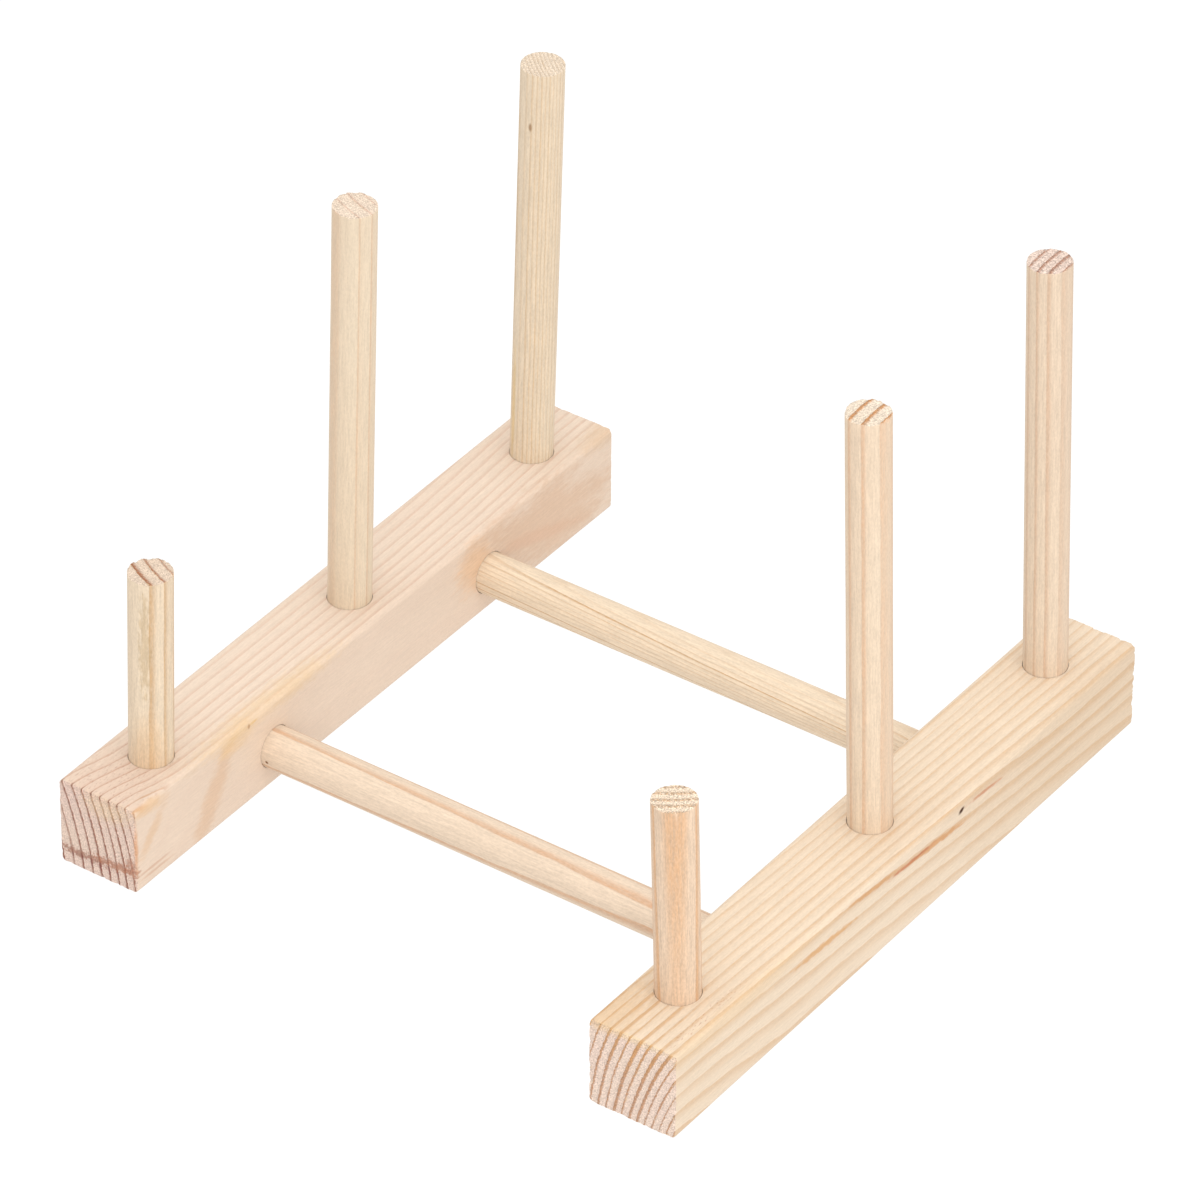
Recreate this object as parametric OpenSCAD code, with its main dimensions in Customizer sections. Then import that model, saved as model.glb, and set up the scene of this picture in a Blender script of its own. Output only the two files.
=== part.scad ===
// Tabletop plate rack of bare pine: two rails on the table, six upright pegs and two crossbars,
// all glued into blind holes. X runs across the rack, Y from the short front pegs to the back,
// and Z up from the table. The origin is at the middle of the footprint.

/* [Rails] */
// Length of each rail from front to back
rail_l = 172; // [150:1:260]
// Width of each rail
rail_w = 21.5; // [19:0.5:30]
// Height of each rail
rail_h = 21.5; // [20:0.5:32]
// Distance between the two rails' centre lines
rail_spacing = 137.5; // [80:0.5:240]
// Radius of the eased long edges of a rail
rail_ease = 1.2; // [0.4:0.2:3]

/* [Pegs] */
// Diameter of the pegs
peg_d = 10; // [6:0.5:12]
// Length of the two front pegs above the rails
front_peg_h = 48.5; // [25:0.5:100]
// Length of the middle and rear pegs above the rails
tall_peg_h = 102.5; // [60:0.5:160]
// Depth of the pegs in their holes
peg_seat = 14; // [8:1:16]
// Distance from the front end of a rail to its front peg
front_peg_inset = 18; // [10:0.5:25]
// Distance that the middle pegs stand behind the middle of the rails
middle_peg_offset = 1.5; // [-5:0.5:5]
// Distance from the rear end of a rail to its rear peg
rear_peg_inset = 17.5; // [10:0.5:25]
// Distance that the pegs stand inwards from the rails' centre lines
peg_offset = 1.2; // [0:0.1:2]
// Lean of each peg towards the middle of the rack, in degrees
peg_lean = 1.75; // [0:0.25:4]

/* [Crossbars] */
// Diameter of the crossbars
crossbar_d = 10; // [6:0.5:12]
// Distance from the front ends of the rails to the front crossbar
front_crossbar_inset = 48; // [40:0.5:55]
// Distance from the rear ends of the rails to the rear crossbar
rear_crossbar_inset = 46.5; // [40:0.5:55]
// Height of the crossbars' centre line above the table
crossbar_z = 9.5; // [8:0.5:12]
// Depth of the crossbars in their holes
crossbar_seat = 14; // [8:1:15]

/* [Fits] */
// Width of the glue gap round a dowel in its hole
glue_gap = 0.1; // [0.05:0.05:0.2]
// Chamfer on the cut ends of the dowels
dowel_chamfer = 0.4; // [0.2:0.1:1]

/* [Hidden] */
$fn = 96;
// How far a peg hole's cutter runs out through the top of the rail
cut_overrun = 1;
front_peg_y = front_peg_inset - rail_l / 2;
rear_peg_y = rail_l / 2 - rear_peg_inset;
front_crossbar_y = front_crossbar_inset - rail_l / 2;
rear_crossbar_y = rail_l / 2 - rear_crossbar_inset;
crossbar_l = rail_spacing - rail_w + 2 * crossbar_seat;
left = -1;
right = 1;
rail_colour = "#efd4b6";
peg_colour = "#f2ddb9";
crossbar_colour = "#f0d9b2";

// Cross-section of a rail, standing on the line y = 0, with its four corners rounded
module eased_section() {
    translate([rail_ease - rail_w / 2, 0]) square([rail_w - 2 * rail_ease, rail_h]);
    translate([-rail_w / 2, rail_ease]) square([rail_w, rail_h - 2 * rail_ease]);
    for (x = [rail_ease - rail_w / 2, rail_w / 2 - rail_ease], z = [rail_ease, rail_h - rail_ease])
        translate([x, z]) circle(r = rail_ease);
}

// Dowel that stands on the origin, with both cut ends chamfered
module dowel(d, l) {
    shoulder_r = d / 2 - dowel_chamfer;
    rotate_extrude() polygon([
        [0, 0], [shoulder_r, 0], [d / 2, dowel_chamfer],
        [d / 2, l - dowel_chamfer], [shoulder_r, l], [0, l],
    ]);
}

// Places its children on the floor of the peg hole at y, with Z along the leaning peg
module in_peg_hole(side, y) {
    translate([side * (rail_spacing / 2 - peg_offset), y, rail_h])
        rotate([0, -side * peg_lean, 0])
            translate([0, 0, -peg_seat]) children();
}

// Places its children on the floor of the left rail's crossbar hole at y, with Z to the right
module in_crossbar_hole(y) {
    translate([-crossbar_l / 2, y, crossbar_z]) rotate([0, 90, 0]) children();
}

module rail(side) {
    color(rail_colour) difference() {
        translate([side * rail_spacing / 2, rail_l / 2, 0])
            rotate([90, 0, 0]) linear_extrude(rail_l) eased_section();
        for (y = [front_peg_y, middle_peg_offset, rear_peg_y])
            in_peg_hole(side, y) cylinder(d = peg_d + 2 * glue_gap, h = peg_seat + cut_overrun);
        for (y = [front_crossbar_y, rear_crossbar_y])
            in_crossbar_hole(y) cylinder(d = crossbar_d + 2 * glue_gap, h = crossbar_l);
    }
}

module peg(side, y, h) {
    color(peg_colour) in_peg_hole(side, y) dowel(peg_d, peg_seat + h);
}

module crossbar(y) {
    color(crossbar_colour) in_crossbar_hole(y) dowel(crossbar_d, crossbar_l);
}

rail(left);  // left_rail
rail(right);  // right_rail
peg(left, front_peg_y, front_peg_h);  // left_front_peg
peg(left, middle_peg_offset, tall_peg_h);  // left_middle_peg
peg(left, rear_peg_y, tall_peg_h);  // left_rear_peg
peg(right, front_peg_y, front_peg_h);  // right_front_peg
peg(right, middle_peg_offset, tall_peg_h);  // right_middle_peg
peg(right, rear_peg_y, tall_peg_h);  // right_rear_peg
crossbar(front_crossbar_y);  // front_crossbar
crossbar(rear_crossbar_y);  // rear_crossbar
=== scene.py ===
# %% [markdown]
# A tabletop plate rack in bare pine. Two square rails lie on the table, six round pegs stand in
# them, and two round crossbars tie the rails together. The measured model is loaded first and
# never moves: every piece made here is laid over one of its nodes, in metres, in the same frame.

# %% Load the measured frame
import math
import random
import bmesh
import bpy
from mathutils import Euler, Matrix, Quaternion, Vector


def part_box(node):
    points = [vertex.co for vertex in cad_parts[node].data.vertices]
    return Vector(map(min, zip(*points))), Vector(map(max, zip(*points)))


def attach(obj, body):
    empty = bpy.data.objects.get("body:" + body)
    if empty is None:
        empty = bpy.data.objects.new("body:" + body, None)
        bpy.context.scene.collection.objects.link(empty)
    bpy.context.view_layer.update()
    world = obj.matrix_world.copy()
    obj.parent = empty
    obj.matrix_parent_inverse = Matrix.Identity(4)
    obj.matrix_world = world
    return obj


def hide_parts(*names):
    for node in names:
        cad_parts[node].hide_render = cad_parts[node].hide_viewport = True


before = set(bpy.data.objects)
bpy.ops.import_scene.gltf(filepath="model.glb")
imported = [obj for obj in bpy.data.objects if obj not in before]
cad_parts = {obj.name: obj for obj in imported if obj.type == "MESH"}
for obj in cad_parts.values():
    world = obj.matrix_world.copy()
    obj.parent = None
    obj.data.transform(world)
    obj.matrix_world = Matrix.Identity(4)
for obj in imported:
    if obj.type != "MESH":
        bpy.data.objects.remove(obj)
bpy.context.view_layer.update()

MM = 0.001
print("nodes:", sorted(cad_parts))

# %% [markdown]
# The camera looks down on the rack from the front and a little from the right, through a long
# lens, so the rails stay almost parallel. Its place was worked out from the rack's own corners.
# A long lens a good way off could also be faked with an orthographic camera, but the rails do
# draw together slightly towards the back, and only a real lens shows that.

# %% Set up the camera
LENS_MM = 251.3
SENSOR_MM = 36
camera_place = Vector((0.8178, -1.1570, 1.0872))
camera_target = Vector((-0.0004, 0.0, 0.0501))
camera_roll = math.radians(0.28)
camera = bpy.data.objects.new("camera", bpy.data.cameras.new("camera"))
bpy.context.scene.collection.objects.link(camera)
camera.data.lens = LENS_MM
camera.data.sensor_width = SENSOR_MM
camera.location = camera_place
camera.rotation_mode = "QUATERNION"
looking = (camera_target - camera_place).to_track_quat("-Z", "Y")
camera.rotation_quaternion = looking @ Quaternion((0, 0, 1), camera_roll)
bpy.context.scene.camera = camera
print("camera", round((camera_target - camera_place).length, 3), "m from the rack")

# %% [markdown]
# The rack stands in a white room and three wide soft lamps add to it: one overhead makes level
# faces the brightest, one low on the right leaves the left side of each peg a little greyer, and
# one in front fills the sawn ends. Small hard lamps would be easier to aim, but they draw sharp
# shadows and the rack shows none. The table only just reaches white, so the undersides of the
# crossbars stay a shade darker. The plain display transform keeps the pale wood as bright as it
# is, where a filmic one would grey the whites.

# %% Light the table
WHITE = (1.0, 1.0, 1.0, 1.0)
ROOM_LIGHT = 0.85
scene = bpy.context.scene
scene.view_settings.view_transform = "Standard"
world = bpy.data.worlds.new("white room")
scene.world = world
world.use_nodes = True
room = world.node_tree.nodes["Background"]
room.inputs["Color"].default_value = WHITE
room.inputs["Strength"].default_value = ROOM_LIGHT


def soft_lamp(name, place, size, watts):
    """A square lamp that faces the middle of the rack."""
    lamp = bpy.data.objects.new(name, bpy.data.lights.new(name, "AREA"))
    lamp.data.size = size
    lamp.data.energy = watts
    lamp.location = place
    lamp.rotation_euler = (camera_target - Vector(place)).to_track_quat("-Z", "Y").to_euler()
    scene.collection.objects.link(lamp)
    return lamp


lamps = [soft_lamp("ceiling lamp", (0.0, 0.0, 2.5), 2.0, 25),
         soft_lamp("side lamp", (1.7, -0.5, 0.8), 1.0, 8.2),
         soft_lamp("front lamp", (0.9, -1.7, 0.95), 1.2, 8.2)]
print([(lamp.name, round(lamp.data.energy, 1)) for lamp in lamps])

# %% [markdown]
# Patterns in wood are sums and products of a few simple fields. Wiring them by hand hides what
# they mean, so one small class wraps a node socket and lets it be written in an expression:
# 1 - late, or late * 0.5 + streak. The same class builds shaders and Geometry Nodes, because both
# kinds of tree hold the same Math and Noise nodes.

# %% Write sockets in expressions
SEED_STEPS = (7.3, 3.1, 5.7)


class Wire:
    """An output socket of a node tree that takes part in sums."""

    def __init__(self, tree, socket):
        self.tree = tree
        self.socket = socket

    def math(self, operation, *others):
        inputs = dict(enumerate((self,) + others))
        return add(self.tree, "ShaderNodeMath", {"operation": operation}, inputs)

    def __add__(self, other):
        return self.math("ADD", other)

    __radd__ = __add__

    def __sub__(self, other):
        return self.math("SUBTRACT", other)

    def __rsub__(self, other):
        return self * -1 + other

    def __mul__(self, other):
        return self.math("MULTIPLY", other)

    __rmul__ = __mul__

    def __truediv__(self, other):
        return self.math("DIVIDE", other)

    def __pow__(self, other):
        return self.math("POWER", other)


def add(tree, kind, settings=None, inputs=None, out=0):
    """Add a node, settle its settings, fill its sockets and give back one output."""
    node = tree.nodes.new(kind)
    for name, value in (settings or {}).items():
        setattr(node, name, value)
    for key, value in (inputs or {}).items():
        if isinstance(value, Wire):
            tree.links.new(value.socket, node.inputs[key])
        else:
            node.inputs[key].default_value = value
    return Wire(tree, node.outputs[out])


def clamp(value):
    """Hold a value between 0 and 1."""
    return value.math("MAXIMUM", 0.0).math("MINIMUM", 1.0)


def ease(value, low, high):
    """A smooth step: 0 below low, 1 above high."""
    return add(value.tree, "ShaderNodeMapRange", {"interpolation_type": "SMOOTHSTEP"},
               {"Value": value, "From Min": low, "From Max": high})


def vector(operation, first, second, out=0):
    """One Vector Math node."""
    return add(first.tree, "ShaderNodeVectorMath", {"operation": operation},
               {0: first, 1: second}, out)


def trio(tree, x, y, z):
    """A vector made of three numbers or wires."""
    return add(tree, "ShaderNodeCombineXYZ", {}, {0: x, 1: y, 2: z})


def parts_of(v):
    """The three numbers of a vector."""
    split = add(v.tree, "ShaderNodeSeparateXYZ", {}, {0: v}).socket.node
    return tuple(Wire(v.tree, output) for output in split.outputs)


def noise(v, lumps, seed=0.0, detail=2.0, out=0):
    """Smooth noise around 0.5. Lumps says how many fit in a millimetre along each axis, and
    another seed moves to another stretch of the same noise."""
    shift = trio(v.tree, *(seed * step for step in SEED_STEPS))
    placed = add(v.tree, "ShaderNodeVectorMath", {"operation": "MULTIPLY_ADD"},
                 {0: v, 1: lumps, 2: shift})
    return add(v.tree, "ShaderNodeTexNoise", {"noise_dimensions": "3D"},
               {"Vector": placed, "Scale": 1.0, "Detail": detail}, out)


print("a wire stands in for a number in + - * / and **")

# %% [markdown]
# Pine is a stack of growth rings round a pith. In each ring soft pale wood darkens slowly into
# hard late wood and stops at a sharp edge, and everything the eye reads as grain, on a face, an
# edge or a sawn end, is that one stack cut at some angle. A picture of grain on each face would
# not meet at the corners, so the rings are one solid field of the piece's own axes, in
# millimetres: x and y across the grain and z along it. The same field colours the wood and
# carves the sawn ends.

# %% Grow the rings
BULGES = ("first", "second", "third")
RING_VALUES = ("pith_x", "pith_y", "distance", "drift_x", "drift_y", "spacing", "fan", "first",
               "tighten", "sway", "ragged", "seed", "start", "vary", "soft", "fade",
               ) + tuple(bulge + "_height" for bulge in BULGES)
RING_VECTORS = tuple(bulge + end for bulge in BULGES for end in ("_centre", "_reach"))
RAMP_START = 0.30
LINE_START = 0.78
LINE = 0.92
EDGE = 0.95
SWAY_LUMPS = (0.05, 0.05, 0.014)
TORN_LUMPS = (1.1, 1.1, 0.10)
NO_BULGE = ((0.0, 0.0, 0.0), (1.0, 1.0, 1.0), 0.0)


def rings_of(pith, spacing, first=0.0, drift=(0.0, 0.0), fan=0.0, tighten=0.0, sway=0.4,
             ragged=0.25, seed=1.0, start=0.72, vary=0.16, soft=1.0, fade=0.35, bulges=()):
    """The values of one tree: where its pith lies, how wide its rings are, how they wander."""
    values = dict(pith_x=pith[0], pith_y=pith[1], distance=math.hypot(*pith), drift_x=drift[0],
                  drift_y=drift[1], spacing=spacing, fan=fan, first=first, tighten=tighten,
                  sway=sway, ragged=ragged, seed=seed, start=start, vary=vary, soft=soft,
                  fade=fade)
    for name, bulge in zip(BULGES, tuple(bulges) + (NO_BULGE,) * len(BULGES)):
        centre, reach, height = bulge
        values[name + "_centre"] = centre
        values[name + "_reach"] = reach
        values[name + "_height"] = height
    return values


def bulged(p, ring, name):
    """How far one broad bulge pushes the rings out of true."""
    away = vector("DIVIDE", vector("SUBTRACT", p, ring[name + "_centre"]), ring[name + "_reach"])
    return (vector("DOT_PRODUCT", away, away, 1) * -1).math("EXPONENT") * ring[name + "_height"]


def growth(p, ring):
    """How late in its ring each point grew: late is the dark wood, line its last dark edge and
    ramp a slow rise through the whole ring, all 0 to 1."""
    x, y, z = parts_of(p)
    sway_x, sway_y, _ = parts_of(noise(p, SWAY_LUMPS, ring["seed"], 1.0, 1))
    torn = noise(p, TORN_LUMPS, ring["seed"] + 2.0, 3.0)
    across = x - z * ring["drift_x"] - ring["pith_x"] + (sway_x - 0.5) * ring["sway"]
    up = y - z * ring["drift_y"] - ring["pith_y"] + (sway_y - 0.5) * ring["sway"]
    radius = (across * across + up * up) ** 0.5
    grown = radius - ring["distance"] - ring["first"] + (torn - 0.5) * ring["ragged"]
    for bulge in BULGES:
        grown = grown + bulged(p, ring, bulge)
    count = grown / ((y * ring["fan"] + 1) * ring["spacing"])
    count = count + count * count * ring["tighten"] + LINE
    number = count.math("FLOOR")
    phase = count - number
    chance = add(p.tree, "ShaderNodeTexWhiteNoise", {"noise_dimensions": "1D"},
                 {"W": number + ring["seed"]})
    begin = chance * chance * ring["vary"] * -1 + ring["start"]
    late = ease(phase, begin, (LINE - begin) * ring["soft"] + begin)
    strength = 1 - (1 - chance) * ring["fade"]
    ended = 1 - ease(phase, EDGE, 1.0)
    return dict(late=late * ended * strength, line=ease(phase, LINE_START, LINE) * ended,
                ramp=ease(phase, RAMP_START, LINE) * ended * strength)


print("ring values:", ", ".join(RING_VALUES))

# %% [markdown]
# Bare pine has no paint or varnish to speak for it, so its finish is many faint things at once:
# rings, fibres, pores, a pink or yellow cast that comes and goes, and here and there a knot or a
# streak of resin. Sawn ends drink light, so there the late wood is much darker. Colours are given
# as they are seen on the wood and turned into paint by the light that falls on it. They could be
# typed as paint straight away, but then every new lamp would mean choosing all of them again.

# %% Turn seen colours into paint
LIGHT_ON = dict(top=1.35, side=1.27, end=1.19, peg=1.26)


def paint(red, green, blue, face="top"):
    """The surface colour that looks like this, 0 to 255, in the light on that face."""
    seen = [c / 255 for c in (red, green, blue)]
    linear = [c / 12.92 if c < 0.04 else ((c + 0.055) / 1.055) ** 2.4 for c in seen]
    return tuple(c / LIGHT_ON[face] for c in linear) + (1.0,)


def blend(amount, first, second):
    """Two colours mixed by an amount."""
    return add(amount.tree, "ShaderNodeMix", {"data_type": "RGBA"},
               {0: amount, 6: first, 7: second}, 2)


print("light on each kind of face:", LIGHT_ON)

# %% [markdown]
# A knot, a flame or a streak of resin sits inside the wood and can show on two faces at once. A
# spot painted on one face would stop dead at the edge. So a mark is a soft ragged ball of colour
# in the stick's own axes, stretched along the grain, and each face shows the slice that it cuts.

# %% Place marks in the wood
MARK_CORE = 0.3
WOBBLE_LUMPS = (0.22, 0.22, 0.09)
RIM_LUMPS = (1.3, 1.3, 0.45)


def blot(centre, reach, colour, amount, tilt=0.0, ragged=0.5, wobble=0.0, where=None):
    """A mark in the wood: a knot, a flame, resin; one lighter patch on the left rail is painted
    light.
    Tilt is its slope along the stick, and where keeps it to the late wood, to the line or ramp of
    each ring, or to the pores."""
    return dict(centre=centre, reach=reach, colour=colour, amount=amount, tilt=tilt,
                ragged=ragged, wobble=wobble, where=where)


def patch(p, mark, seed):
    """1 at the centre of a mark and 0 past its reach, with a torn rim."""
    x, y, z = parts_of(vector("SUBTRACT", p, mark["centre"]))
    away = vector("DIVIDE", trio(p.tree, x, y - z * mark["tilt"], z), mark["reach"])
    far = vector("LENGTH", away, (0, 0, 0), 1)
    far = far + (noise(p, WOBBLE_LUMPS, seed, 1.0) - 0.5) * mark["wobble"]
    far = far + (noise(p, RIM_LUMPS, seed, 3.0) - 0.5) * mark["ragged"]
    return (1 - ease(far, MARK_CORE, 1.0)) * mark["amount"]


print("a mark is solid out to", MARK_CORE, "of its reach")

# %% [markdown]
# One function mixes the finish of every stick, because the wood is the same and only the tree, the
# cut and the marks differ. Side faces and sawn ends are mixed apart and chosen by the way a face
# looks, since one ring is a faint band along a side and a dark line across an end. Two materials
# could do it as well, but then the border between them would have to be drawn by hand.

# %% Mix the pine
PLAIN_LOOK = dict(spread=0.2, contrast=1.0, flat_fade=0.3, broken=0.6, sharpness=1.0, fibre=1.0,
                  speckle=1.0, marks=())
FIBRE_LUMPS = (2.6, 2.6, 0.16)
BROAD_LUMPS = (0.10, 0.10, 0.016)
CELL_LUMPS = (2.6, 2.6, 0.9)
GRIT_LUMPS = (3.3, 3.3, 1.2)
SAWN_RANGE = (0.6, 0.9)
FLAT_RANGE = (0.75, 0.97)
PORE_RANGE = (0.56, 0.68)
GRIT_RANGE = (0.34, 0.66)


def facing(normal, way, low, high):
    """1 on faces that look along a way, forwards or back, and 0 on faces beside it."""
    return ease(vector("DOT_PRODUCT", normal, way, 1).math("ABSOLUTE"), low, high)


def textures(p, seed):
    """The fine fields of the wood: fibres, broad casts, cells, pores and grit."""
    cells = noise(p, CELL_LUMPS, seed + 8, 2.0)
    grit = ease(noise(p, GRIT_LUMPS, seed + 9, 1.0), *GRIT_RANGE) - 0.5
    return dict(fibre=noise(p, FIBRE_LUMPS, seed, 3.0), broad=noise(p, BROAD_LUMPS, seed + 4, 2.0),
                cells=cells, pores=ease(cells, *PORE_RANGE), grit=grit)


def wood_colour(grown, fine, sawn, flat, look):
    """Side faces and sawn ends, each blended from early to late wood."""
    spread = look["spread"]
    side_late = grown["late"] * (1 - spread) + grown["ramp"] * spread
    side_late = side_late * look["contrast"] * (1 - flat * look["flat_fade"])
    side_late = (side_late * (fine["fibre"] * 1.3 + fine["cells"] * 0.9 - 0.1)).math("MINIMUM", 1.0)
    broken = (fine["cells"] - 0.5) * look["broken"] * 4 + 1.1
    end_late = clamp(grown["late"] ** look["sharpness"] * broken)
    along = blend(side_late, blend(fine["broad"], *look["early"]), look["late"])
    across = blend(end_late, blend(fine["broad"], *look["end_early"]), look["end_late"])
    return blend(sawn, along, across)


print("a plain look:", PLAIN_LOOK)

# %% [markdown]
# The last coat lays the marks over the wood and adds the speckle of its cut fibres. Late wood is
# harder, so it shines a little more and stands a little higher than early wood. One smooth colour
# would be easier, but bare pine is known by how uneven it is.

# %% Finish a stick
BUMP_DEPTH = 1.0 * MM
BUMP_STRENGTH = 0.7
SHEEN = 0.3
ROUGH = 0.72
LATE_SHINE = 0.12


def marked(colour, p, places, marks):
    """The colour with its marks laid over it, one after the other."""
    for i, mark in enumerate(marks):
        share = patch(p, mark, 3.0 + i)
        if mark["where"]:
            share = share * places[mark["where"]]
        colour = blend(share, colour, mark["colour"])
    return colour


def pine(name, stick, ring, look):
    """The finish of one stick, from the colours and marks of its look."""
    look = dict(PLAIN_LOOK, **look)
    material = bpy.data.materials.new(name)
    material.use_nodes = True
    tree = material.node_tree
    place = add(tree, "ShaderNodeTexCoord", out="Object")
    p = add(tree, "ShaderNodeMapping", {"vector_type": "TEXTURE"},
            {"Vector": place, "Location": stick["place"], "Rotation": stick["turn"],
             "Scale": (MM, MM, MM)})
    own_axes = Euler(stick["turn"]).to_matrix()
    normal = add(tree, "ShaderNodeNewGeometry", out="Normal")
    along_grain = tuple(own_axes @ Vector((0, 0, 1)))
    from_pith = tuple(own_axes @ Vector((-ring["pith_x"], -ring["pith_y"], 0)).normalized())
    sawn = facing(normal, along_grain, *SAWN_RANGE)
    flat = facing(normal, from_pith, *FLAT_RANGE)

    grown = growth(p, ring)
    fine = textures(p, ring["seed"])
    colour = wood_colour(grown, fine, sawn, flat, look)
    colour = marked(colour, p, dict(grown, pores=fine["pores"]), look["marks"])
    grain = ((fine["fibre"] - 0.5) * 0.26 + fine["grit"] * 0.05) * look["fibre"]
    speckle = ((fine["cells"] - 0.5) * 0.5 + fine["grit"] * 0.26) * look["speckle"]
    shade = grain * (1 - sawn) + speckle * sawn + 1.0
    colour = add(tree, "ShaderNodeVectorMath", {"operation": "SCALE"},
                 {0: colour, "Scale": shade})

    shader = tree.nodes["Principled BSDF"]
    tree.links.new(colour.socket, shader.inputs["Base Color"])
    shader.inputs["Specular IOR Level"].default_value = SHEEN
    tree.links.new((grown["late"] * -LATE_SHINE + ROUGH).socket, shader.inputs["Roughness"])
    height = fine["fibre"] * 0.06 + grown["late"] * 0.03 + fine["cells"] * 0.05
    bump = add(tree, "ShaderNodeBump", {}, {"Height": height, "Distance": BUMP_DEPTH,
                                            "Strength": BUMP_STRENGTH}, "Normal")
    tree.links.new(bump.socket, shader.inputs["Normal"])
    return material


print("late wood is", LATE_SHINE, "less rough than early wood")

# %% [markdown]
# Every piece of the rack is a stick: a square one with eased edges or a round one. A stick is a
# sheet of faces wrapped round its outline and drawn in to a point at both ends, so rails and
# dowels need only one Geometry Nodes tree, and a dowel is a stick whose corner radius is half its
# width. A cube and a cylinder would be quicker, but each of their ends is one face, with nothing
# to carve. The rows of the sheet run from the middle of one end over its rounded rim, along the
# body, over the other rim and in to the middle again. Where the saw left the wood it broke small
# chips off the rims.

# %% Wrap a sheet round a stick
CAP_ROWS = 30
ROUND_ROWS = 4
CORNER_POINTS = 32
SEAM = 0.001 * MM
END_ROWS = 0.4999
CHIP_LUMPS = (0.75, 0.75, 1.0)
CHIP_STEP = 9
CHIP_BORDER = 0.84
CHIP_RANGE = (0.45, 0.75)


def wrap_stick(tree, value):
    """A closed skin of faces round the stick, still smooth, with chipped rims."""
    rows = value["rows"] + 2 * (CAP_ROWS + ROUND_ROWS)
    sheet = add(tree, "GeometryNodeMeshGrid", {}, {
        "Size X": 1.0, "Size Y": 1.0, "Vertices X": value["around"] + 1, "Vertices Y": rows + 1})
    turn_share, row_share, _ = parts_of(add(tree, "GeometryNodeInputPosition"))
    row = (row_share + 0.5) * rows

    def stage(first, count):
        return clamp((row - first) / count)

    cap_in = stage(0, CAP_ROWS)
    round_in = stage(CAP_ROWS, ROUND_ROWS) * (math.pi / 2)
    body = stage(CAP_ROWS + ROUND_ROWS, value["rows"])
    round_out = stage(value["rows"] + CAP_ROWS + ROUND_ROWS, ROUND_ROWS) * (math.pi / 2)
    cap_out = stage(value["rows"] + CAP_ROWS + 2 * ROUND_ROWS, CAP_ROWS)
    eased = value["easing"] / (value["width"] * 0.5)
    spread = ((cap_in - cap_out) * (1 - eased)
              + eased * (round_in.math("SINE") + round_out.math("COSINE") - 1))
    along = (value["easing"] * (1 - round_in.math("COSINE") + round_out.math("SINE"))
             + (value["length"] - value["easing"] * 2) * body - value["length"] * 0.5)

    block = add(tree, "GeometryNodeCurvePrimitiveQuadrilateral", {"mode": "RECTANGLE"},
                {"Width": value["width"], "Height": value["height"]})
    outline = add(tree, "GeometryNodeFilletCurve", {"mode": "POLY"},
                  {"Curve": block, "Radius": value["corner"], "Limit Radius": True,
                   "Count": CORNER_POINTS})
    rim = add(tree, "GeometryNodeSampleCurve", {"mode": "FACTOR", "use_all_curves": True},
              {"Curves": outline, "Factor": turn_share + 0.5}, "Position")
    rim_x, rim_y, _ = parts_of(rim)
    towards_front = along / value["length"] + 0.5
    towards_outside = 0.5 - rim_x / value["width"]
    drawn_in = value["front_taper"] * towards_front * towards_outside
    at_an_end = (body - 0.5).math("ABSOLUTE").math("GREATER_THAN", END_ROWS)
    chips = ease(noise(trio(tree, rim_x / MM, rim_y / MM, body * CHIP_STEP), CHIP_LUMPS,
                       value["seed"] + 11, 2.0), *CHIP_RANGE)
    near_rim = ease(spread, CHIP_BORDER, 1.0)
    chipped = chips * near_rim * at_an_end * value["wear"] * (body * 2 - 1)
    wrapped = add(tree, "GeometryNodeSetPosition", {}, {
        "Geometry": sheet,
        "Position": trio(tree, (rim_x + drawn_in) * spread, rim_y * spread, along - chipped)})
    return add(tree, "GeometryNodeMergeByDistance", {}, {"Geometry": wrapped, "Distance": SEAM})


print("each end has", CAP_ROWS + ROUND_ROWS, "rows")

# %% [markdown]
# The saw tears soft early wood deeper than hard late wood, so the ends are carved with the same
# rings that colour them, and the sides get a trace of the same. A displaced material would show it
# too, but only in the picture. Moving the points keeps it in the mesh. The carving always goes
# inwards, so a carved stick never outgrows its node.

# %% Carve the wood
SAWN_LUMPS = (3.0, 3.0, 0.6)
SWELL_LUMPS = (0.09, 0.09, 0.02)
COMBED_LUMPS = (1.4, 1.4, 0.06)
END_RANGE = (0.35, 0.8)


def carve_stick(tree, value, wood):
    """The wood with torn ends and a faint grain on its sides."""
    p = add(tree, "ShaderNodeVectorMath", {"operation": "SCALE"},
            {0: add(tree, "GeometryNodeInputPosition"), "Scale": 1 / MM})
    normal = add(tree, "GeometryNodeInputNormal")
    sawn = ease(parts_of(normal)[2].math("ABSOLUTE"), *END_RANGE)
    late = growth(p, value)["late"]
    torn = noise(p, SAWN_LUMPS, value["seed"], 3.0)
    swell = noise(p, SWELL_LUMPS, value["seed"] + 6, 1.0)
    combed = noise(p, COMBED_LUMPS, value["seed"], 2.0)
    end_depth = value["end_relief"] * (1 - late) + value["saw_marks"] * torn
    side_depth = value["side_relief"] * (1 - late) * combed + value["waviness"] * swell
    depth = end_depth * sawn + side_depth * (1 - sawn)
    inwards = add(tree, "ShaderNodeVectorMath", {"operation": "SCALE"},
                  {0: normal, "Scale": depth * -1})
    return add(tree, "GeometryNodeSetPosition", {}, {"Geometry": wood, "Offset": inwards})


print("torn ends have", SAWN_LUMPS[0], "lumps to a millimetre")

# %% [markdown]
# The tree takes sizes, relief and rings as inputs. Ten trees with the numbers typed in would do
# the same, but a change to how a stick is made would then have to be made ten times.

# %% Build the stick tree
SIZES = ("width", "height", "length", "corner", "easing", "front_taper")
RELIEFS = ("end_relief", "side_relief", "saw_marks", "waviness", "wear")


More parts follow.
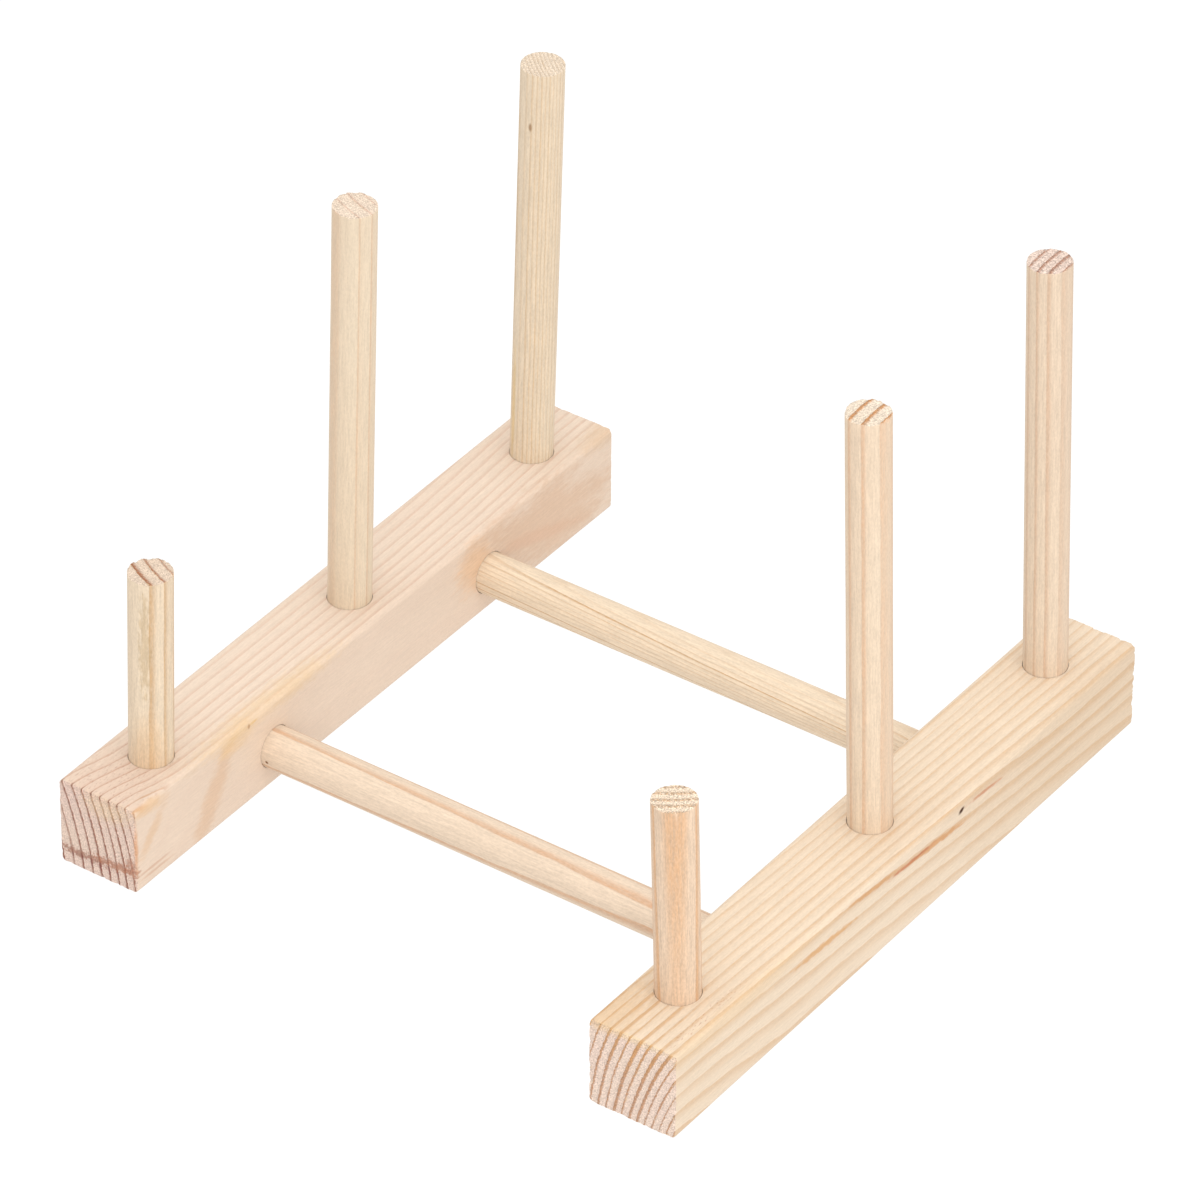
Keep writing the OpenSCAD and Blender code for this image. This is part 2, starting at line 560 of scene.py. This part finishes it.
def stick_tree():
    """A Geometry Nodes tree that wraps, carves and places one stick."""
    tree = bpy.data.node_groups.new("stick of pine", "GeometryNodeTree")
    for name in SIZES + RELIEFS + RING_VALUES:
        tree.interface.new_socket(name, in_out="INPUT", socket_type="NodeSocketFloat")
    for name in ("around", "rows"):
        tree.interface.new_socket(name, in_out="INPUT", socket_type="NodeSocketInt")
    for name in ("place", "turn") + RING_VECTORS:
        tree.interface.new_socket(name, in_out="INPUT", socket_type="NodeSocketVector")
    tree.interface.new_socket("finish", in_out="INPUT", socket_type="NodeSocketMaterial")
    tree.interface.new_socket("stick", in_out="OUTPUT", socket_type="NodeSocketGeometry")
    given = tree.nodes.new("NodeGroupInput")
    value = {socket.name: Wire(tree, socket) for socket in given.outputs if socket.name}

    carved = carve_stick(tree, value, wrap_stick(tree, value))
    placed = add(tree, "GeometryNodeTransform", {"mode": "COMPONENTS"}, {
        "Geometry": carved, "Translation": value["place"], "Rotation": value["turn"]})
    smooth = add(tree, "GeometryNodeSetShadeSmooth", {}, {"Geometry": placed})
    real = add(tree, "GeometryNodeRealizeInstances", {}, {"Geometry": smooth})
    finished = add(tree, "GeometryNodeSetMaterial", {},
                   {"Geometry": real, "Material": value["finish"]})
    result = tree.nodes.new("NodeGroupOutput")
    tree.links.new(finished.socket, result.inputs["stick"])
    return tree


tree_of_sticks = stick_tree()
print("stick tree:", len(tree_of_sticks.nodes), "nodes")

# %% [markdown]
# A modifier could stay on each piece and keep it easy to change. The rails are still to be bored
# and all the pieces handed over as they are, so the tree runs once for each stick and what it
# makes is kept as a plain mesh.

# %% Turn one stick into a mesh
def make_stick(name, stick, ring, finish):
    """Run the tree once with this stick's sizes and keep what it makes as a plain mesh."""
    piece = bpy.data.objects.new(name, bpy.data.meshes.new(name))
    scene.collection.objects.link(piece)
    modifier = piece.modifiers.new("stick", "NODES")
    modifier.node_group = tree_of_sticks
    values = dict(stick, finish=finish, **ring)
    for socket in tree_of_sticks.interface.items_tree:
        if socket.in_out == "INPUT":
            modifier[socket.identifier] = values[socket.name]
    graph = bpy.context.evaluated_depsgraph_get()
    mesh = bpy.data.meshes.new_from_object(piece.evaluated_get(graph), depsgraph=graph)
    piece.modifiers.remove(modifier)
    piece.data = mesh
    mesh.name = name
    print(name, len(mesh.vertices), "points")
    return piece


# %% [markdown]
# The rails are two planed battens of one size, lying along the table. Their width, height, length
# and place could be typed in, but the measured model holds them already, so they are read from its
# boxes and can't drift away from it. What is named here is what the tools left on the wood: a
# rounded edge, a torn end with a chipped rim, a face that waves a little. The left rail is also a
# little thinner towards its front end.

# %% Measure the rails
left_low, left_high = (Vector(corner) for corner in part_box("left_rail"))
right_low, right_high = (Vector(corner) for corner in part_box("right_rail"))
rail_size = left_high - left_low
rail_turn = (math.pi / 2, 0.0, 0.0)
RAIL = dict(width=rail_size.x, height=rail_size.z, length=rail_size.y, corner=1.2 * MM,
            easing=0.5 * MM, front_taper=0.0, end_relief=0.14 * MM, side_relief=0.05 * MM,
            saw_marks=0.12 * MM, waviness=0.06 * MM, wear=0.25 * MM, around=240, rows=96,
            turn=rail_turn)
left_stick = dict(RAIL, place=tuple((left_low + left_high) / 2), front_taper=1.2 * MM)
right_stick = dict(RAIL, place=tuple((right_low + right_high) / 2), end_relief=0.28 * MM,
                   wear=0.6 * MM)
half = rail_size.x / 2 / MM
front = rail_size.y / 2 / MM
EVERYWHERE = 999
print("rails", [round(side / MM, 2) for side in rail_size], "mm")

# %% [markdown]
# The left rail was cut close to flat: thin pink rings on top and a plain inner face with soft
# flames. A picture of such a plank could be laid on it, but it would end at the edges, while these
# rings go round them. The pith and the width of the rings were found by counting the lines of the
# end and the top and moving the pith until both fitted. Each mark is placed in millimetres from
# the middle of the rail: x to the right, y up, z towards the viewer.

# %% Finish and make the left rail
left_rings = rings_of((-70.3, -15.96), 2.34, first=3.333, tighten=0.0175, seed=74.0, start=0.66,
                      vary=0.12, soft=1.0, ragged=0.6,
                      bulges=(((0, 0, front), (EVERYWHERE, EVERYWHERE, 11.2), 3.48),
                              ((0, 0, -front), (EVERYWHERE, EVERYWHERE, 42.5), 3.21)))
left_look = dict(
    early=(paint(253, 232, 210), paint(250, 226, 204)), late=paint(230, 188, 160),
    end_early=(paint(233, 209, 188, "end"), paint(227, 197, 186, "end")),
    end_late=paint(150, 101, 82, "end"), contrast=0.5, flat_fade=0.85, fibre=0.8,
    sharpness=1.3, spread=0.3, speckle=1.4,
    marks=(
        blot((-4.5, -6.7, front), (9.0, 1.3, 2.0), paint(160, 108, 86, "end"), 0.75, ragged=2.4),
        blot((6.0, -5.8, front), (9.0, 1.7, 2.0), paint(176, 114, 84, "end"), 0.75, ragged=2.4),
        blot((9.5, -4.4, front), (2.6, 3.2, 1.6), paint(178, 116, 88, "end"), 0.6, ragged=2.4),
        blot((0.0, -7.8, front), (12.0, 1.5, 2.0), paint(126, 62, 54, "end"), 0.9, ragged=1.4,
             where="late"),
        blot((0.0, -7.4, front), (12.0, 1.4, 2.0), paint(150, 84, 76, "end"), 0.7, ragged=1.0,
             where="pores"),
        blot((3.0, 9.0, front), (9.0, 6.0, 1.2), paint(238, 208, 160, "end"), 0.35, ragged=1.0),
        blot((half, 1.0, front), (0.8, 9.0, 1.3), paint(222, 162, 116, "end"), 0.8),
        blot((0.0, half, front), (16.0, 2.0, 26.0), paint(238, 204, 182), 0.4, ragged=1.2),
        blot((0.0, half, front), (16.0, 2.0, 30.0), paint(208, 160, 134), 0.55, where="line"),
        blot((0.0, half, front), (16.0, 2.0, 27.0), paint(184, 132, 112), 0.4, where="pores"),
        blot((0.0, half, front), (16.0, 1.4, 1.6), paint(140, 92, 72), 0.8, where="line"),
        blot((half - 1.0, half, 82.0), (2.6, 2.0, 9.0), paint(222, 160, 104), 0.6, where="late"),
        blot((half + 1.0, 0.0, 0.0), (4.0, 80.0, 400.0), paint(228, 192, 166, "side"), 0.15),
        blot((half, -1.75, 59.5), (3.0, 8.0, 11.0), paint(232, 194, 160, "side"), 0.65, -1.4, 0.9,
             0.5),
        blot((half, 2.4, 80.0), (3.0, 3.4, 6.5), paint(236, 198, 160, "side"), 0.6, -1.0, 0.9,
             0.5),
        blot((half, 9.4, 81.0), (2.0, 2.2, 7.5), paint(240, 196, 144, "side"), 0.55, 0.1, 0.9),
        blot((half, 8.2, 51.0), (4.0, 3.6, 9.5), paint(248, 208, 154, "side"), 0.5, 0.0, 0.9,
             0.6),
        blot((half, half, 40.0), (6.0, 4.0, 34.0), paint(248, 212, 162), 0.5, ragged=1.0),
        blot((half, half, -front), (6.0, 4.0, 16.0), paint(238, 202, 162), 0.5, ragged=1.0),
        blot((half, 9.6, 45.5), (1.2, 0.5, 2.6), paint(240, 196, 120, "side"), 0.8),
        blot((half, 9.3, 46.7), (0.9, 0.9, 0.6), paint(186, 134, 80, "side"), 1.0, ragged=0.2),
        # Painted light: this lighter patch on the inner face beside the front crossbar lifts the
        # shade round the crossbar's joint.
        blot((half, 4.0, 42.0), (3.0, 11.0, 13.0), paint(250, 224, 198, "side"), 0.5, ragged=1.0),
        blot((half, 4.0, -34.0), (3.0, 9.0, 8.0), paint(250, 200, 150, "side"), 0.5, 0.0, 0.9,
             0.6),
        blot((half, 0.0, -60.0), (4.0, 15.0, 34.0), paint(226, 188, 156, "side"), 0.6, 0.2, 0.9,
             0.8),
        blot((half, -2.8, -60.5), (4.0, 2.6, 21.0), paint(230, 188, 158, "side"), 0.5, 0.31, 0.9,
             0.8),
        blot((half, -6.6, 80.0), (1.4, 0.5, 8.0), paint(212, 162, 130, "side"), 0.5),
        blot((half, -8.0, 79.0), (1.4, 0.5, 8.0), paint(212, 162, 130, "side"), 0.45),
    ))
left_rail = make_stick("left_rail_wood", left_stick, left_rings,
                       pine("left rail pine", left_stick, left_rings, left_look))

# %% [markdown]
# The right rail came from another tree, so it needs its own rings and not the left ones mirrored.
# They are tan, lean outwards and wander off the rail's length, so on the outer face they run out
# as long slanting bands beside a small dark knot. Its sawn ends are torn deeper than the left
# one's, and the rims are chipped more. Three broad bulges bend the rings to the bands that show.

# %% Finish and make the right rail
right_rings = rings_of((77.6, -23.7), 2.065, first=-0.476, drift=(-0.031, 0.0), fan=0.008,
                       tighten=-0.0056, sway=0.9, seed=244.0, start=0.78, vary=0.26, soft=0.5,
                       ragged=0.55,
                       bulges=(((half, 6.1, -47.0), (2.8, 6.4, 50.3), 1.15),
                               ((0, -8.2, 46.5), (EVERYWHERE, 8.5, 15.4), 0.54),
                               ((-half, half, -25.0), (6.5, 14.0, 75.0), 2.3)))
right_look = dict(
    early=(paint(254, 233, 207), paint(251, 227, 199)), late=paint(230, 187, 139),
    end_early=(paint(242, 222, 202, "end"), paint(238, 210, 196, "end")),
    end_late=paint(191, 144, 111, "end"), contrast=0.5, flat_fade=0.0, broken=0.7, spread=0.6,
    speckle=1.4,
    marks=(
        blot((0.0, half, front), (16.0, 2.2, 1.2), paint(242, 214, 160, "end"), 0.4),
        blot((0.0, half, front), (16.0, 13.0, 1.2), paint(212, 158, 102, "end"), 0.7,
             where="late"),
        blot((-half, half, front), (13.0, 3.0, 24.0), paint(240, 200, 152), 0.5, ragged=1.0),
        blot((-5.0, half, front), (18.0, 2.0, 24.0), paint(218, 164, 106), 0.55, ragged=1.0,
             where="late"),
        blot((8.0, half, 72.0), (1.6, 2.0, 18.0), paint(204, 146, 118), 0.7, where="pores"),
        blot((half, 9.5, 66.0), (3.0, 4.0, 40.0), paint(240, 202, 150, "side"), 0.3),
        blot((half, 0.0, -front), (3.0, 40.0, 90.0), paint(206, 172, 132, "side"), 0.25),
        blot((half + 1.0, 0.0, 0.0), (4.0, 80.0, 400.0), paint(218, 174, 128, "side"), 0.2,
             where="ramp"),
        blot((half, 8.5, 15.0), (3.0, 0.9, 15.0), paint(222, 166, 112, "side"), 0.85, 0.09, 1.2),
        blot((half, 5.8, -8.0), (3.0, 1.1, 18.0), paint(222, 164, 110, "side"), 0.9, 0.085, 1.2),
        blot((half, 6.6, 1.0), (3.0, 0.7, 11.0), paint(204, 126, 84, "side"), 0.8, 0.04, 1.4),
        blot((half, 5.3, 33.0), (3.0, 1.1, 15.0), paint(228, 172, 112, "side"), 0.75, 0.05, 1.4),
        blot((half, 7.8, -27.0), (3.0, 0.7, 9.0), paint(214, 146, 108, "side"), 0.8, 0.07, 1.2),
        blot((half, 8.2, -18.2), (1.6, 0.9, 1.4), paint(78, 40, 8, "side"), 1.0, -0.3, 0.3),
    ))
right_rail = make_stick("right_rail_wood", right_stick, right_rings,
                        pine("right rail pine", right_stick, right_rings, right_look))

# %% [markdown]
# The dowels are one pattern with eight places. The upright ones lean a little towards the middle,
# and a box drawn round a leaning peg is wider than the peg. So its axis is worked out backwards
# from the box, which is surer than moving and turning each peg by eye. A peg's pith is given as
# the viewer sees it, by how far it lies to the right and how far towards the camera.

# %% Measure the pegs and crossbars
PEG_LEAN = math.radians(1.75)
toward_camera = Vector((camera_place.x, camera_place.y, 0)).normalized()
to_the_right = Vector((-toward_camera.y, toward_camera.x, 0))
PITH_AWAY = 40.0


def pith_at(right, near):
    """A far pith, given by how much it lies to the right and towards the camera."""
    way = (to_the_right * right + toward_camera * near).normalized() * PITH_AWAY
    return way.x, way.y


def dowel_between(start, end, turn):
    """The sizes and place of a round stick whose axis joins two points."""
    return dict(place=tuple((start + end) / 2), turn=turn, length=(end - start).length)


def peg_axis(node):
    """The two ends of a leaning peg's axis, worked out from its node's box."""
    low, high = (Vector(corner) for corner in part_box(node))
    side = -1 if low.x < 0 else 1
    lean = Vector((-side * math.sin(PEG_LEAN), 0, math.cos(PEG_LEAN)))
    radius = (high.y - low.y) / 2
    length = (high.z - low.z - 2 * radius * math.sin(PEG_LEAN)) / math.cos(PEG_LEAN)
    middle = (low + high) / 2
    return middle - lean * length / 2, middle + lean * length / 2


print("peg leans", round(math.degrees(PEG_LEAN), 2), "degrees")

# %% [markdown]
# Six pegs were sawn from six dowels, so each has a look of its own: broad early wood, close
# straight lines, a streak of resin, a torn top. Drawing the looks at random would be shorter, but
# the tops stand side by side in the light, where each can be told from its neighbours. The dowels
# are a trace thinner than the model's, as they are in the picture.

# %% Describe the pegs
DOWEL_WIDTH = 9.86 * MM
DOWEL = dict(width=DOWEL_WIDTH, height=DOWEL_WIDTH, corner=DOWEL_WIDTH / 2 - SEAM,
             easing=0.35 * MM, front_taper=0.0, end_relief=0.28 * MM, side_relief=0.07 * MM,
             saw_marks=0.18 * MM, waviness=0.10 * MM, wear=0.3 * MM, around=144, rows=56)
peg_looks = {
    "left_front_peg": dict(
        rings=rings_of(pith_at(0.861, -0.508), 3.05, first=-0.47, seed=42.0, start=0.70,
                       vary=0.34, ragged=0.5),
        early=(paint(246, 226, 199, "peg"), paint(239, 216, 187, "peg")),
        late=paint(210, 168, 120, "peg"), contrast=0.72, fibre=1.8, sharpness=1.8,
        speckle=1.3, wear=0.7 * MM,
        end_early=(paint(243, 223, 203), paint(234, 208, 182)), end_late=paint(176, 114, 76),
        marks=(blot((1.8, -4.6, 15.0), (1.5, 2.0, 17.0), paint(200, 168, 120, "peg"), 0.45,
                    ragged=2.4, wobble=0.8),
               blot((2.6, -4.0, -14.0), (5.0, 5.0, 14.0), paint(238, 200, 156, "peg"), 0.5))),
    "left_middle_peg": dict(
        rings=rings_of(pith_at(0.819, -0.574), 2.9, first=-0.9, seed=135.0, start=0.86),
        early=(paint(242, 224, 198, "peg"), paint(239, 217, 189, "peg")),
        late=paint(230, 194, 160, "peg"), contrast=0.8, fibre=1.3, speckle=1.5, wear=0.4 * MM,
        end_early=(paint(247, 228, 207), paint(243, 220, 197)), end_late=paint(236, 202, 180)),
    "left_rear_peg": dict(
        rings=rings_of(pith_at(0.97, -0.25), 0.85, seed=13.0, start=0.6, sway=0.6),
        early=(paint(244, 225, 199, "peg"), paint(237, 216, 188, "peg")),
        late=paint(222, 188, 146, "peg"), contrast=0.62, fibre=1.6, speckle=1.3, wear=0.12 * MM,
        end_early=(paint(250, 233, 211), paint(246, 225, 201)), end_late=paint(240, 216, 188),
        marks=(blot((0.5, -4.9, 44.4), (0.6, 0.9, 1.5), paint(166, 126, 86, "peg"), 0.8),
               blot((-3.4, -3.6, 18.0), (1.3, 2.0, 60.0), paint(214, 182, 142, "peg"), 0.6,
                    ragged=1.0, wobble=0.8),
               blot((-2.2, -4.4, -30.0), (1.0, 1.4, 22.0), paint(236, 200, 136, "peg"), 0.6))),
    "right_front_peg": dict(
        rings=rings_of(pith_at(0.0, -1.0), 2.15, first=0.92, drift=(-0.0095, 0.0135), seed=14.0,
                       start=0.5, sway=0.3),
        early=(paint(243, 218, 192, "peg"), paint(239, 208, 178, "peg")),
        late=paint(232, 186, 144, "peg"), flat_fade=0.0, broken=5.0, fibre=2.4, speckle=2.4,
        wear=0.25 * MM,
        end_early=(paint(253, 233, 209), paint(250, 226, 200)), end_late=paint(206, 172, 138)),
    "right_middle_peg": dict(
        rings=rings_of(pith_at(0.839, 0.545), 3.3, first=-0.98, seed=311.0, start=0.84, vary=0.24,
                       soft=0.7, ragged=0.4),
        early=(paint(246, 226, 200, "peg"), paint(242, 216, 188, "peg")),
        late=paint(226, 180, 142, "peg"), contrast=0.6, fibre=1.6, speckle=1.5,
        wear=0.7 * MM,
        end_early=(paint(252, 236, 216), paint(248, 228, 204)), end_late=paint(206, 148, 98)),
    "right_rear_peg": dict(
        rings=rings_of(pith_at(0.843, 0.538), 2.4, first=0.5, seed=94.0, start=0.72, vary=0.3,
                       soft=0.8, ragged=0.4),
        early=(paint(243, 222, 196, "peg"), paint(238, 213, 187, "peg")),
        late=paint(216, 176, 144, "peg"), contrast=0.6, fibre=1.6, speckle=2.0, wear=0.35 * MM,
        broken=0.9,
        end_early=(paint(247, 226, 210), paint(240, 214, 198)), end_late=paint(182, 134, 110)),
}
print("looks:", ", ".join(peg_looks))

# %% [markdown]
# The pegs are made in one loop, because only the node, the lean and the look change. Copying one
# peg and moving it would be as short, but its rings would then repeat from peg to peg.

# %% Make the pegs
dowels = {}
pieces = {"left_rail": left_rail, "right_rail": right_rail}
for node, look in peg_looks.items():
    lean = PEG_LEAN if node.startswith("left") else -PEG_LEAN
    stick = dict(DOWEL, wear=look["wear"], **dowel_between(*peg_axis(node), (0.0, lean, 0.0)))
    dowels[node] = stick
    pieces[node] = make_stick(node + "_wood", stick, look["rings"],
                              pine(node + " pine", stick, look["rings"], look))

# %% [markdown]
# The crossbars are two more dowels, laid on their side by a quarter turn. Their ends are glued
# into the rails where nobody sees them, so both share one colour there. The front one carries a
# small dark knot near its left end.

# %% Make the crossbars
BAR_ENDS = dict(end_early=(paint(246, 224, 204), paint(240, 212, 188)),
                end_late=paint(200, 150, 110))
bar_looks = {
    "front_crossbar": dict(
        rings=rings_of((0.506 * PITH_AWAY, 0.859 * PITH_AWAY), 3.2, first=3.75,
                       drift=(-0.0065, -0.0111), seed=21.0, start=0.60, ragged=0.6),
        early=(paint(244, 222, 198, "peg"), paint(240, 216, 190, "peg")),
        late=paint(222, 178, 142, "peg"), flat_fade=0.0, fibre=1.7,
        marks=(blot((0.8, -4.9, -56.6), (0.6, 0.6, 0.6), paint(132, 86, 52, "peg"), 1.0,
                    ragged=0.2),)),
    "rear_crossbar": dict(
        rings=rings_of((0.972 * PITH_AWAY, -0.224 * PITH_AWAY), 0.85, drift=(0.036, -0.008),
                       seed=22.0, start=0.66, sway=0.5, fade=0.9),
        early=(paint(248, 228, 202, "peg"), paint(244, 221, 192, "peg")),
        late=paint(208, 164, 116, "peg"), flat_fade=0.6, fibre=1.6),
}
for node, look in bar_looks.items():
    low, high = (Vector(corner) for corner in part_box(node))
    middle = (low + high) / 2
    stick = dict(DOWEL, **dowel_between(Vector((low.x, middle.y, middle.z)),
                                        Vector((high.x, middle.y, middle.z)),
                                        (0.0, math.pi / 2, 0.0)))
    dowels[node] = stick
    look = dict(look, **BAR_ENDS)
    pieces[node] = make_stick(node + "_wood", stick, look["rings"],
                              pine(node + " pine", stick, look["rings"], look))

# %% [markdown]
# Each dowel sits in a blind hole a hair wider than itself, and that hair is the thin dark line
# round every foot in the picture. A dark ring painted on the rail would do from afar. Here it is a
# real gap: a slightly ragged cutter for each hole, all taken out of the rail in one cut. The cut
# leaves points in the middle of straight edges, and they are cleared, since the slivers beside
# them would fold shut once the faces are split into triangles.

# %% Bore the blind holes
HAIR = 0.02 * MM
TEAR = 0.05 * MM
HOLE_SIDES = 96
SHARP_EDGE = math.radians(45)
dice = random.Random(7)


def cutter_for(stick):
    """Rings of points for a cutter round this stick, long enough to pass its ends."""
    axis = Euler(stick["turn"]).to_matrix()
    reach = stick["length"] / 2 + HAIR
    points = []
    for end in (-reach, reach):
        for i in range(HOLE_SIDES):
            turn = 2 * math.pi * i / HOLE_SIDES
            radius = stick["width"] / 2 + HAIR + dice.uniform(0, TEAR)
            points.append(Vector(stick["place"]) + axis @ Vector(
                (radius * math.cos(turn), radius * math.sin(turn), end)))
    return points


def clear_idle_points(mesh):
    """Take out the points at which only two edges meet."""
    shape = bmesh.new()
    shape.from_mesh(mesh)
    idle = [point for point in shape.verts if len(point.link_edges) == 2]
    bmesh.ops.dissolve_verts(shape, verts=idle)
    shape.to_mesh(mesh)
    shape.free()
    return len(idle)


def bore(rail, sticks):
    """Take the cutters of these sticks out of a rail."""
    points = []
    faces = []
    for stick in sticks:
        base = len(points)
        points += cutter_for(stick)
        faces.append([base + i for i in reversed(range(HOLE_SIDES))])
        faces.append([base + HOLE_SIDES + i for i in range(HOLE_SIDES)])
        for i in range(HOLE_SIDES):
            after = (i + 1) % HOLE_SIDES
            faces.append([base + i, base + after, base + HOLE_SIDES + after,
                          base + HOLE_SIDES + i])
    mesh = bpy.data.meshes.new("cutters")
    mesh.from_pydata(points, [], faces)
    cutters = bpy.data.objects.new("cutters", mesh)
    scene.collection.objects.link(cutters)
    cut = rail.modifiers.new("bore", "BOOLEAN")
    cut.operation = "DIFFERENCE"
    cut.solver = "EXACT"
    cut.object = cutters
    graph = bpy.context.evaluated_depsgraph_get()
    bored = bpy.data.meshes.new_from_object(rail.evaluated_get(graph), depsgraph=graph)
    rail.modifiers.remove(cut)
    rail.data = bored
    idle = clear_idle_points(bored)
    bored.set_sharp_from_angle(angle=SHARP_EDGE)
    bpy.data.objects.remove(cutters)
    print(rail.name, len(bored.polygons), "faces after boring,", idle, "idle points cleared")


for side in ("left", "right"):
    own = [stick for node, stick in dowels.items()
           if node.startswith(side) or node.endswith("crossbar")]
    bore(pieces[side + "_rail"], own)

# %% [markdown]
# The pieces stand in for the model's nodes and ride on its one body, because nothing on the rack
# moves.

# %% Hand the pieces over
for node, piece in pieces.items():
    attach(piece, "root")
    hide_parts(node)

print(len(pieces), "pieces handed over")

# %% [markdown]
# The floor is only a stage, as in a picture made for a catalogue. A plain white floor would turn
# grey under the rack. This one is nearly black paint with a white glow, so it stays the same white
# whatever shade falls on it, and it hides the rack's own soft shadow.

# %% Lay the floor
FLOOR_HALF = 4.0
FLOOR_DROP = 0.2 * MM
FLOOR_PAINT = (0.05, 0.05, 0.05, 1.0)
FLOOR_GLOW = 1.0
floor_corners = [(x * FLOOR_HALF, y * FLOOR_HALF, -FLOOR_DROP)
                 for x, y in ((-1, -1), (1, -1), (1, 1), (-1, 1))]
floor_mesh = bpy.data.meshes.new("floor")
floor_mesh.from_pydata(floor_corners, [], [(0, 1, 2, 3)])
floor = bpy.data.objects.new("floor", floor_mesh)
scene.collection.objects.link(floor)
white = bpy.data.materials.new("white sweep")
white.use_nodes = True
sheet = white.node_tree.nodes["Principled BSDF"]
sheet.inputs["Base Color"].default_value = FLOOR_PAINT
sheet.inputs["Roughness"].default_value = 1.0
sheet.inputs["Specular IOR Level"].default_value = 0.0
sheet.inputs["Emission Color"].default_value = WHITE
sheet.inputs["Emission Strength"].default_value = FLOOR_GLOW
floor_mesh.materials.append(white)
print("floor", 2 * FLOOR_HALF, "m wide")
